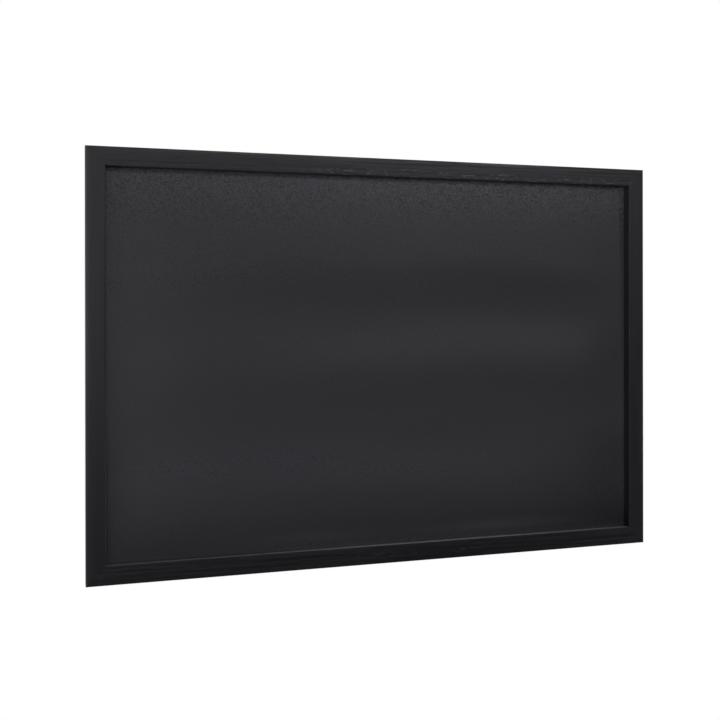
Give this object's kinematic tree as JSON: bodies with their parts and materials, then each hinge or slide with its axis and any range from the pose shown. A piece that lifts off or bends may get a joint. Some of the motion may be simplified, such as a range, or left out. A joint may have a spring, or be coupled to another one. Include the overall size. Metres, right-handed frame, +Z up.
{
  "type": "wall chalkboard",
  "caption": "Wall chalkboard: a mitred black wood frame round a recessed charcoal writing panel, with swinging D-ring hangers and wall pads on the back.",
  "frame": {"origin": "the middle of the top rail's back face, 6.25 mm below the top edge", "axes": "+Z up, -Y out of the writing face towards the reader, +Y towards the wall, +X to the reader's right"},
  "size_m": [0.639, 0.0221, 0.439],
  "materials": {
    "black_stained_wood": "open-grain wood, black stain under a thin satin lacquer",
    "writing_coat": "3 mm fibreboard, front rolled with a charcoal chalk coat of low sheen",
    "spring_steel": "bright folded steel strip",
    "blackened_steel": "blued steel, slightly oily",
    "zinc_plated_steel": "bright zinc plate",
    "pad_rubber": "matt black rubber"
  },
  "bodies": {
    "frame": {"top_rail": "black_stained_wood", "bottom_rail": "black_stained_wood", "left_stile": "black_stained_wood", "right_stile": "black_stained_wood", "chalk_panel": "writing_coat", "v_nail_top_left_1": "spring_steel", "v_nail_top_left_2": "spring_steel", "v_nail_top_right_1": "spring_steel", "v_nail_top_right_2": "spring_steel", "v_nail_bottom_left_1": "spring_steel", "v_nail_bottom_left_2": "spring_steel", "v_nail_bottom_right_1": "spring_steel", "v_nail_bottom_right_2": "spring_steel", "panel_point_top_1": "blackened_steel", "panel_point_top_2": "blackened_steel", "panel_point_top_3": "blackened_steel", "panel_point_top_4": "blackened_steel", "panel_point_bottom_1": "blackened_steel", "panel_point_bottom_2": "blackened_steel", "panel_point_bottom_3": "blackened_steel", "panel_point_bottom_4": "blackened_steel", "panel_point_left_1": "blackened_steel", "panel_point_left_2": "blackened_steel", "panel_point_right_1": "blackened_steel", "panel_point_right_2": "blackened_steel", "left_hanger_strap": "zinc_plated_steel", "left_hanger_screw": "zinc_plated_steel", "right_hanger_strap": "zinc_plated_steel", "right_hanger_screw": "zinc_plated_steel", "wall_pad_top_left": "pad_rubber", "wall_pad_top_right": "pad_rubber", "wall_pad_bottom_left": "pad_rubber", "wall_pad_bottom_right": "pad_rubber"},
    "left_hanging_ring": {"left_ring": "zinc_plated_steel"},
    "right_hanging_ring": {"right_ring": "zinc_plated_steel"}
  },
  "joints": [
    {"name": "left_ring_swing", "type": "hinge", "parent": "frame", "child": "left_hanging_ring", "pos_m": [-0.31325, 0.00185, -0.06375], "axis": [1, 0, 0], "range_deg": [0, 175]},
    {"name": "right_ring_swing", "type": "hinge", "parent": "frame", "child": "right_hanging_ring", "pos_m": [0.31325, 0.00185, -0.06375], "axis": [1, 0, 0], "range_deg": [0, 175]}
  ]
}
